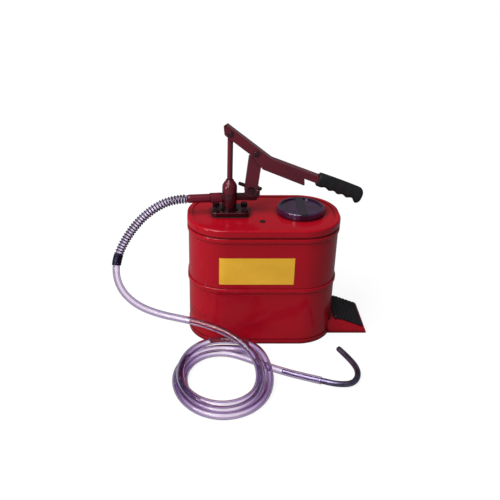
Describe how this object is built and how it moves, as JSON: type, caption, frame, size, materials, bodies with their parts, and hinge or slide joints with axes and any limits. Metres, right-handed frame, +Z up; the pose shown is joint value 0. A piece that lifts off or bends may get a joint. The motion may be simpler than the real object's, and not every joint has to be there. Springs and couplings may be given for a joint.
{
  "type": "hand-lever oil transfer pump",
  "caption": "Oblong sheet-steel oil tank with a lid-mounted piston pump, linked hand lever, screw filler cap, foot pedal plate and coiled clear hose with a bent nozzle.",
  "frame": {"origin": "centre of the tank's flat base, on the floor", "axes": "+Z up along the pump; +X towards the foot pedal; -Y towards the label"},
  "size_m": [0.5791, 0.4533, 0.4828],
  "materials": {
    "tank_paint": "gloss enamel",
    "pump_paint": "dark gloss enamel",
    "label": "semi-gloss film",
    "cap_plastic": "gloss",
    "black_rubber": "satin",
    "gasket": "matt",
    "zinc_steel": "dull zinc",
    "machined_steel": "turned",
    "ball_steel": "polished",
    "seal_rubber": "satin",
    "packing": "greased plait",
    "hose_plastic": "clear, tinted"
  },
  "bodies": {
    "tank": {"tank_shell": "tank_paint", "tank_bottom": "tank_paint", "lid": "tank_paint", "lid_gasket": "gasket", "label_plate": "label", "filler_neck": "tank_paint", "vent_plug": "black_rubber", "foot_pedal": "tank_paint", "pedal_pad": "black_rubber", "pedal_rivets": "zinc_steel", "pump_head": "pump_paint", "pump_gasket": "gasket", "flange_bolts": "zinc_steel", "flange_nuts": "zinc_steel", "gland_nut": "pump_paint", "gland_packing": "packing", "pump_barrel": "machined_steel", "foot_valve_body": "machined_steel", "foot_valve_cage": "machined_steel", "suction_tube": "machined_steel", "suction_strainer": "machined_steel", "outlet_adapter": "pump_paint", "outlet_ferrule": "pump_paint", "spring_guard": "zinc_steel", "hose_drop": "hose_plastic", "hose_coil": "hose_plastic", "hose_tail": "hose_plastic", "nozzle": "zinc_steel"},
    "plunger": {"plunger_rod": "pump_paint", "piston": "machined_steel", "piston_seal": "seal_rubber", "piston_cover": "machined_steel", "piston_nut": "zinc_steel"},
    "lever": {"lever": "pump_paint", "grip": "black_rubber", "rod_pin": "zinc_steel", "lever_pin": "zinc_steel", "pin_clips": "zinc_steel"},
    "link": {"swing_link": "pump_paint", "base_bolt": "zinc_steel", "base_washer": "zinc_steel"},
    "wing_nut": {"wing_nut": "zinc_steel"},
    "filler_cap": {"filler_cap": "cap_plastic", "cap_gasket": "gasket"},
    "foot_ball": {"foot_valve_ball": "ball_steel"},
    "piston_ball": {"piston_ball": "ball_steel"}
  },
  "joints": [
    {"name": "plunger_stroke", "type": "slide", "parent": "tank", "child": "plunger", "axis": [0, 0, -1], "range_m": [0, 0.07812]},
    {"name": "lever_hinge", "type": "hinge", "parent": "plunger", "child": "lever", "pos_m": [-0.075, 0, 0.4653], "axis": [0, -1, 0], "range_deg": [0, 67.8]},
    {"name": "link_swing", "type": "hinge", "parent": "lever", "child": "link", "pos_m": [-0.02, 0, 0.4227], "axis": [0, -1, 0], "range_deg": [-71.4, 0]},
    {"name": "wing_nut_turn", "type": "hinge", "parent": "link", "child": "wing_nut", "pos_m": [-0.0292, 0, 0.338], "axis": [0, 1, 0], "continuous": true},
    {"name": "cap_lift", "type": "slide", "parent": "tank", "child": "filler_cap", "axis": [0, 0, 1], "range_m": [0, 0.034]},
    {"name": "foot_ball_lift", "type": "slide", "parent": "tank", "child": "foot_ball", "axis": [0, 0, 1], "range_m": [0, 0.004]},
    {"name": "piston_ball_lift", "type": "slide", "parent": "plunger", "child": "piston_ball", "axis": [0, 0, 1], "range_m": [0, 0.003]}
  ],
  "couplings": [
    {"joint": "lever_hinge", "follows": "plunger_stroke", "rad_per_m": 15.139},
    {"joint": "link_swing", "follows": "plunger_stroke", "rad_per_m": -15.935}
  ]
}
